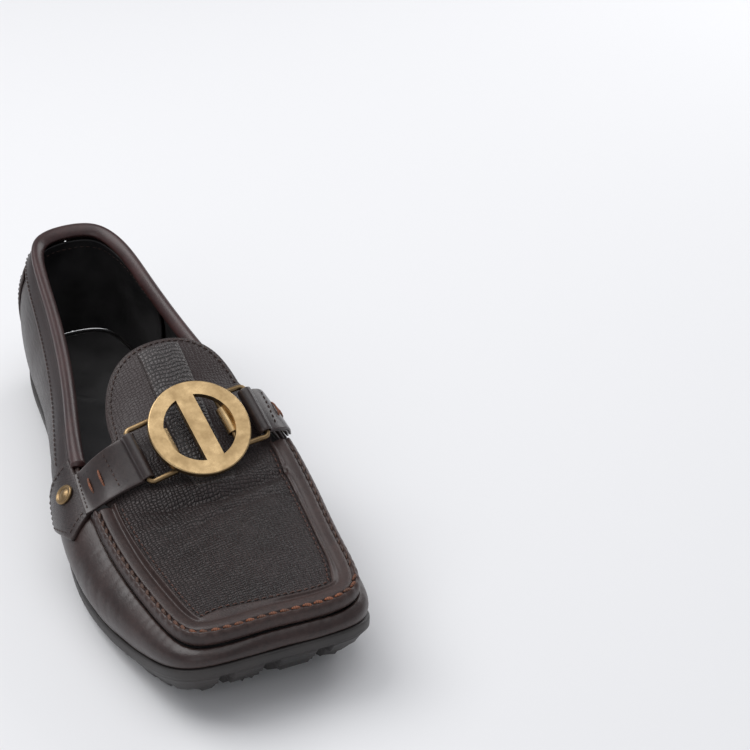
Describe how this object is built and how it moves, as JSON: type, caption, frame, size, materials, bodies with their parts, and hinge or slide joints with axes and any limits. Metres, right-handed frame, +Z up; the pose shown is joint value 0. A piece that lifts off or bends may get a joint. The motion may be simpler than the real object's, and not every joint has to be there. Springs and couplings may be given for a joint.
{
  "type": "moccasin",
  "caption": "Driving moccasin for the right foot: leather upper with a raised plug seam and squared toe, rubber cup sole, and a strap with a hinged round brass buckle.",
  "frame": {"origin": "centre of the bounding box on the plane that the sole stands on", "axes": "+Z up, toe towards -Y, heel towards +Y, the wearer's right (lateral) side towards -X"},
  "size_m": [0.1097, 0.2967, 0.0835],
  "materials": {
    "grain_leather": "embossed cross-hatch grain, satin",
    "smooth_leather": "smooth, satin, slightly creased",
    "binding_leather": "smooth reddish brown, satin",
    "black_lining": "matt black lining",
    "rubber": "matt moulded rubber",
    "thread": "waxed rust thread",
    "dark_thread": "waxed dark brown thread",
    "brass": "satin antique brass",
    "foam": "open cell foam",
    "board": "fibre board"
  },
  "bodies": {
    "shoe": {"outsole": "rubber", "sole_filler": "foam", "insole_board": "board", "footbed_foam": "foam", "sock_lining": "black_lining", "vamp": "smooth_leather", "plug": "grain_leather", "plug_lining": "black_lining", "centre_strip": "grain_leather", "seam_rib": "binding_leather", "vamp_lining": "black_lining", "quarter_lateral": "grain_leather", "quarter_medial": "grain_leather", "quarter_lining_lateral": "black_lining", "quarter_lining_medial": "black_lining", "heel_lining": "black_lining", "heel_counter": "board", "heel_patch": "grain_leather", "collar_binding": "binding_leather", "side_badge_lateral": "grain_leather", "side_badge_medial": "grain_leather", "strap_loop_lateral": "smooth_leather", "strap_loop_medial": "smooth_leather", "rivet_lateral": "brass", "rivet_medial": "brass"},
    "lateral_ring": {"ring_lateral": "brass"},
    "buckle": {"buckle_disc": "brass"},
    "medial_ring": {"ring_medial": "brass"}
  },
  "joints": [
    {"name": "lateral_ring_hinge", "type": "hinge", "parent": "shoe", "child": "lateral_ring", "pos_m": [-0.01927, -0.04059, 0.06087], "axis": [0.1271, -0.8319, -0.5402], "range_deg": [0, 8]},
    {"name": "lateral_disc_hinge", "type": "hinge", "parent": "lateral_ring", "child": "buckle", "pos_m": [-0.00539, -0.04046, 0.06394], "axis": [0.1271, -0.8319, -0.5402], "range_deg": [-8.6, 0.6]},
    {"name": "medial_disc_hinge", "type": "hinge", "parent": "buckle", "child": "medial_ring", "pos_m": [0.02239, -0.03747, 0.06588], "axis": [0.1271, -0.8319, -0.5402], "range_deg": [-8.6, 0.6]}
  ],
  "couplings": [
    {"joint": "lateral_disc_hinge", "follows": "lateral_ring_hinge", "ratio": -1},
    {"joint": "medial_disc_hinge", "follows": "lateral_ring_hinge", "ratio": -1}
  ]
}
